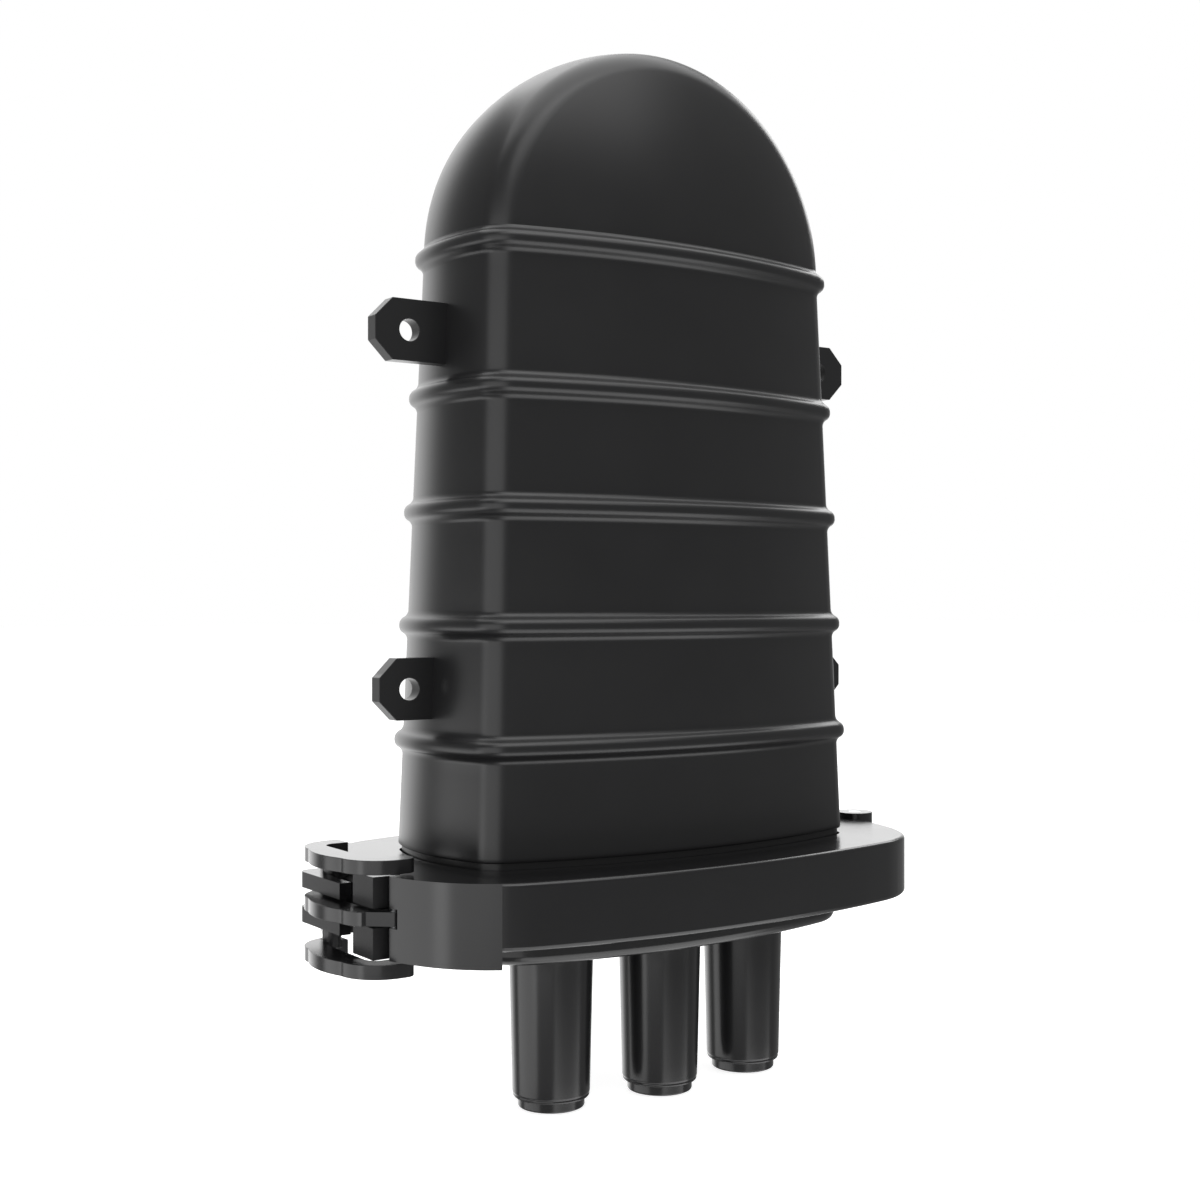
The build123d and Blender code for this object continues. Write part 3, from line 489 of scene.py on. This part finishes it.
def softened(node_name, piece_name, width, angle):
    """A merged copy of a node's mesh with its edges over an angle rounded."""
    mesh = nodes[node_name].data.copy()
    work = bmesh.new()
    work.from_mesh(mesh)
    bmesh.ops.remove_doubles(work, verts=work.verts, dist=2e-6)
    bmesh.ops.dissolve_degenerate(work, edges=work.edges, dist=1e-6)
    bmesh.ops.dissolve_limit(work, angle_limit=math.radians(0.05), verts=work.verts,
                             edges=work.edges, delimit=set())
    work.to_mesh(mesh)
    work.free()
    mesh.materials.clear()
    piece = bpy.data.objects.new(piece_name, mesh)
    scene.collection.objects.link(piece)
    for polygon in mesh.polygons:
        polygon.use_smooth = True
    edges = piece.modifiers.new("edges", "BEVEL")
    edges.width = width
    edges.segments = 2
    edges.limit_method = "ANGLE"
    edges.angle_limit = math.radians(angle)
    edges.use_clamp_overlap = True
    weights = piece.modifiers.new("weights", "WEIGHTED_NORMAL")
    weights.keep_sharp = True
    finished(piece)
    piece.data.materials.clear()
    piece.data.materials.append(hard_plastic)
    return piece


for node_name, piece_name, body, width in (
        ("clamp_front", "clamp_front_half", "closure", 0.0005),
        ("clamp_rear", "clamp_rear_half", "closure", 0.0005),
        ("latch_lever", "latch_lever_moulding", "lever", 0.0006),
        ("base_body", "base_moulding", "closure", 0.0004)):
    piece = softened(node_name, piece_name, width, 30)
    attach(piece, body)
    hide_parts(node_name)

# Steel fittings: the two pins and all screws, bright zinc-plated steel with the
# drawn wire's fine lines.
steel = bpy.data.materials.new("plated_steel")
steel.use_nodes = True
tree = steel.node_tree
shader = tree.nodes["Principled BSDF"]
shader.inputs["Metallic"].default_value = 1.0
where_steel = tree.nodes.new("ShaderNodeTexCoord")
lines = tree.nodes.new("ShaderNodeTexNoise")
lines.inputs["Scale"].default_value = 1800.0
lines.inputs["Detail"].default_value = 2.0
sheen = tree.nodes.new("ShaderNodeMapRange")
sheen.inputs["To Min"].default_value = 0.22
sheen.inputs["To Max"].default_value = 0.38
tone = tree.nodes.new("ShaderNodeMix")
tone.data_type = "RGBA"
tone.inputs[6].default_value = (0.55, 0.56, 0.57, 1)
tone.inputs[7].default_value = (0.68, 0.69, 0.70, 1)
tree.links.new(where_steel.outputs["Object"], lines.inputs["Vector"])
tree.links.new(lines.outputs["Fac"], sheen.inputs["Value"])
tree.links.new(lines.outputs["Fac"], tone.inputs[0])
tree.links.new(sheen.outputs["Result"], shader.inputs["Roughness"])
tree.links.new(tone.outputs[2], shader.inputs["Base Color"])
for name in ("clamp_hinge_pin", "latch_keeper_pin", "strength_yoke_left", "strength_yoke_middle",
             "strength_yoke_right"):
    nodes[name].data.materials.clear()
    nodes[name].data.materials.append(steel)

# Screws: slotted pan heads, one form set at every seat by a node tree.  A head is a
# short cylinder cut to a flattened ball, with a shank below and a slot across it.
pan_height = 0.0026
screws = bpy.data.node_groups.new("pan_head_screws", "GeometryNodeTree")
screws.interface.new_socket(name="Seats", in_out="INPUT", socket_type="NodeSocketGeometry")
for socket, default in (("Head Radius", 0.0038), ("Head Height", pan_height), ("Shank Radius", 0.0019),
                        ("Shank Length", 0.007), ("Slot Width", 0.0008), ("Slot Depth", 0.001)):
    made = screws.interface.new_socket(name=socket, in_out="INPUT", socket_type="NodeSocketFloat")
    made.default_value = default
screws.interface.new_socket(name="Turn", in_out="INPUT", socket_type="NodeSocketRotation")
screws.interface.new_socket(name="Metal", in_out="INPUT", socket_type="NodeSocketMaterial")
screws.interface.new_socket(name="Screws", in_out="OUTPUT", socket_type="NodeSocketGeometry")
entry = screws.nodes.new("NodeGroupInput")
leave = screws.nodes.new("NodeGroupOutput")


def worked_out(kind, socket, *numbers):
    """A math node on a socket and one or two numbers."""
    node = screws.nodes.new("ShaderNodeMath")
    node.operation = kind
    screws.links.new(socket, node.inputs[0])
    for slot, number in enumerate(numbers, 1):
        node.inputs[slot].default_value = number
    return node.outputs[0]


def placed(shape, height=None, scale=None):
    """The shape scaled by a vector socket and raised by a socket, where they are given."""
    place = screws.nodes.new("GeometryNodeTransform")
    screws.links.new(shape, place.inputs["Geometry"])
    if height is not None:
        move = screws.nodes.new("ShaderNodeCombineXYZ")
        screws.links.new(height, move.inputs["Z"])
        screws.links.new(move.outputs[0], place.inputs["Translation"])
    if scale is not None:
        screws.links.new(scale, place.inputs["Scale"])
    return place.outputs[0]


def turned_bar(radius, length):
    """A round bar about the screw's axis."""
    bar = screws.nodes.new("GeometryNodeMeshCylinder")
    bar.inputs["Vertices"].default_value = 32
    screws.links.new(radius, bar.inputs["Radius"])
    screws.links.new(length, bar.inputs["Depth"])
    return bar.outputs["Mesh"]


def joined(kind, first, second):
    """Two closed meshes united, cut or intersected."""
    cut = screws.nodes.new("GeometryNodeMeshBoolean")
    cut.operation = kind
    cut.solver = "EXACT"
    if kind == "DIFFERENCE":
        screws.links.new(first, cut.inputs["Mesh 1"])
    else:
        screws.links.new(first, cut.inputs["Mesh 2"])
    screws.links.new(second, cut.inputs["Mesh 2"])
    return cut.outputs["Mesh"]


head_radius, head_height = entry.outputs["Head Radius"], entry.outputs["Head Height"]
half_head = worked_out("MULTIPLY", head_height, 0.5)
drum = placed(turned_bar(head_radius, head_height), half_head)
ball = screws.nodes.new("GeometryNodeMeshUVSphere")
ball.inputs["Segments"].default_value = 32
ball.inputs["Rings"].default_value = 24
ball.inputs["Radius"].default_value = 1.0
ball_over_head, slot_over_head = 1.18, 2.4
spread_out = worked_out("MULTIPLY", head_radius, ball_over_head)
squash = screws.nodes.new("ShaderNodeCombineXYZ")
screws.links.new(spread_out, squash.inputs[0])
screws.links.new(spread_out, squash.inputs[1])
screws.links.new(head_height, squash.inputs[2])
domed = placed(ball.outputs["Mesh"], scale=squash.outputs[0])
head = joined("INTERSECT", drum, domed)
# The shank runs a little into the head, so that the two unite
sunk = 0.0003
shank_length = worked_out("ADD", entry.outputs["Shank Length"], sunk)
shank_middle = worked_out("MULTIPLY_ADD", entry.outputs["Shank Length"], -0.5, sunk / 2)
shank = placed(turned_bar(entry.outputs["Shank Radius"], shank_length), shank_middle)
whole = joined("UNION", head, shank)
blade_size = screws.nodes.new("ShaderNodeCombineXYZ")
screws.links.new(worked_out("MULTIPLY", head_radius, slot_over_head), blade_size.inputs[0])
screws.links.new(entry.outputs["Slot Width"], blade_size.inputs[1])
screws.links.new(worked_out("MULTIPLY", entry.outputs["Slot Depth"], 2.0), blade_size.inputs[2])
blade = screws.nodes.new("GeometryNodeMeshCube")
screws.links.new(blade_size.outputs[0], blade.inputs["Size"])
slot_cut = placed(blade.outputs["Mesh"], head_height)
one_screw = joined("DIFFERENCE", whole, slot_cut)
copies = screws.nodes.new("GeometryNodeInstanceOnPoints")
real = screws.nodes.new("GeometryNodeRealizeInstances")
paint = screws.nodes.new("GeometryNodeSetMaterial")
screws.links.new(entry.outputs["Seats"], copies.inputs["Points"])
screws.links.new(one_screw, copies.inputs["Instance"])
screws.links.new(entry.outputs["Turn"], copies.inputs["Rotation"])
screws.links.new(copies.outputs[0], real.inputs[0])
screws.links.new(real.outputs[0], paint.inputs["Geometry"])
screws.links.new(entry.outputs["Metal"], paint.inputs["Material"])
screws.links.new(paint.outputs[0], leave.inputs["Screws"])
socket_of = {item.name: item.identifier for item in screws.interface.items_tree}


def solid_boxes(node_name):
    """Lowest and highest corner of each separate solid of a node."""
    work = bmesh.new()
    work.from_mesh(nodes[node_name].data)
    bmesh.ops.remove_doubles(work, verts=work.verts, dist=2e-6)
    left = set(work.verts)
    boxes = []
    while left:
        front = [left.pop()]
        island = list(front)
        while front:
            for edge in front.pop().link_edges:
                for vert in edge.verts:
                    if vert in left:
                        left.remove(vert)
                        front.append(vert)
                        island.append(vert)
        points = np.array([tuple(v.co) for v in island])
        boxes.append((points.min(axis=0), points.max(axis=0)))
    work.free()
    return boxes


for name, facing in (("carrier_screws", "up"), ("cable_bar_screws", "up"), ("yoke_screws", "front"),
                     ("hinge_block_screws", "rear"), ("slack_basket_screws", "rear")):
    seats = []
    for box_low, box_high in solid_boxes(name):
        seat = (box_low + box_high) / 2
        if facing == "up":
            seat[2] = box_high[2] - pan_height
            reach = box_high[2] - box_low[2] - pan_height
        else:
            seat[1] = box_low[1] + pan_height if facing == "front" else box_high[1] - pan_height
            reach = box_high[1] - box_low[1] - pan_height
        seats.append(tuple(seat))
    seat_mesh = bpy.data.meshes.new(name + "_seats")
    seat_mesh.from_pydata(seats, [], [])
    piece = bpy.data.objects.new(name + "_slotted", seat_mesh)
    scene.collection.objects.link(piece)
    maker = piece.modifiers.new("screws", "NODES")
    maker.node_group = screws
    maker[socket_of["Shank Length"]] = reach
    maker[socket_of["Turn"]] = {"up": (0.0, 0.0, 0.0), "front": (math.pi / 2, 0.0, 0.0),
                                "rear": (-math.pi / 2, 0.0, 0.0)}[facing]
    maker[socket_of["Metal"]] = steel
    finished(piece)
    # The tree's meshes start without a metal, which leaves an empty first slot
    piece.data.materials.pop(index=0)
    piece.data.set_sharp_from_angle(angle=math.radians(30))
    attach(piece, "closure")
    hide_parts(name)

# Folded sheet parts: tray carrier and cable bar in brushed aluminium.
sheet = bpy.data.materials.new("brushed_sheet")
sheet.use_nodes = True
tree = sheet.node_tree
shader = tree.nodes["Principled BSDF"]
shader.inputs["Metallic"].default_value = 1.0
where_sheet = tree.nodes.new("ShaderNodeTexCoord")
stretch = tree.nodes.new("ShaderNodeMapping")
stretch.inputs["Scale"].default_value = (4000.0, 4000.0, 60.0)
strokes = tree.nodes.new("ShaderNodeTexNoise")
strokes.inputs["Scale"].default_value = 1.0
strokes.inputs["Detail"].default_value = 2.0
sheen = tree.nodes.new("ShaderNodeMapRange")
sheen.inputs["To Min"].default_value = 0.28
sheen.inputs["To Max"].default_value = 0.46
tone = tree.nodes.new("ShaderNodeMix")
tone.data_type = "RGBA"
tone.inputs[6].default_value = (0.66, 0.67, 0.68, 1)
tone.inputs[7].default_value = (0.78, 0.79, 0.80, 1)
tree.links.new(where_sheet.outputs["Object"], stretch.inputs["Vector"])
tree.links.new(stretch.outputs["Vector"], strokes.inputs["Vector"])
tree.links.new(strokes.outputs["Fac"], sheen.inputs["Value"])
tree.links.new(strokes.outputs["Fac"], tone.inputs[0])
tree.links.new(sheen.outputs["Result"], shader.inputs["Roughness"])
tree.links.new(tone.outputs[2], shader.inputs["Base Color"])
for name in ("tray_carrier", "cable_bar"):
    nodes[name].data.materials.clear()
    nodes[name].data.materials.append(sheet)

# Trays, holders and block: moulded ABS in light grey and dark grey, with a clear
# lid on the front tray.
tray_plastic = moulded_plastic("tray_plastic", (0.68, 0.69, 0.67), (0.76, 0.77, 0.75),
                               0.42, 0.08, 0.0005, 0.2)
block_plastic = moulded_plastic("block_plastic", (0.10, 0.105, 0.11), (0.13, 0.135, 0.14),
                                0.48, 0.08, 0.0005, 0.25)
clear_plastic = moulded_plastic("clear_plastic", (0.84, 0.87, 0.88), (0.88, 0.90, 0.91),
                                0.08, 0.03, 0.0008, 0.05, alpha=0.35)
for number in range(1, 5):
    for name, material in ((f"splice_tray_{number}", tray_plastic),
                           (f"splice_holder_{number}", block_plastic)):
        nodes[name].data.materials.clear()
        nodes[name].data.materials.append(material)
for name, material in (("tray_hinge_block", block_plastic), ("slack_basket", block_plastic),
                       ("tray_lid", clear_plastic)):
    nodes[name].data.materials.clear()
    nodes[name].data.materials.append(material)

# Seal ring: soft silicone cord between the flanges, slightly dusty.
rubber = moulded_plastic("seal_rubber", (0.30, 0.31, 0.32), (0.36, 0.37, 0.38),
                         0.62, 0.1, 0.0004, 0.3, specular=0.35)
nodes["seal_ring"].data.materials.clear()
nodes["seal_ring"].data.materials.append(rubber)

# Strap: black hook-and-loop tape round the trays, woven.
strap_cloth = bpy.data.materials.new("strap_cloth")
strap_cloth.use_nodes = True
tree = strap_cloth.node_tree
shader = tree.nodes["Principled BSDF"]
shader.inputs["Roughness"].default_value = 0.85
where_strap = tree.nodes.new("ShaderNodeTexCoord")
weave = tree.nodes.new("ShaderNodeTexWave")
weave.wave_type = "BANDS"
weave.bands_direction = "Z"
weave.inputs["Scale"].default_value = 260.0
weave.inputs["Distortion"].default_value = 1.5
tone = tree.nodes.new("ShaderNodeMix")
tone.data_type = "RGBA"
tone.inputs[6].default_value = (0.025, 0.025, 0.028, 1)
tone.inputs[7].default_value = (0.06, 0.06, 0.065, 1)
relief = tree.nodes.new("ShaderNodeBump")
relief.inputs["Strength"].default_value = 0.4
relief.inputs["Distance"].default_value = 0.0003
tree.links.new(where_strap.outputs["Object"], weave.inputs["Vector"])
tree.links.new(weave.outputs["Fac"], tone.inputs[0])
tree.links.new(weave.outputs["Fac"], relief.inputs["Height"])
tree.links.new(tone.outputs[2], shader.inputs["Base Color"])
tree.links.new(relief.outputs["Normal"], shader.inputs["Normal"])
nodes["tray_strap"].data.materials.clear()
nodes["tray_strap"].data.materials.append(strap_cloth)
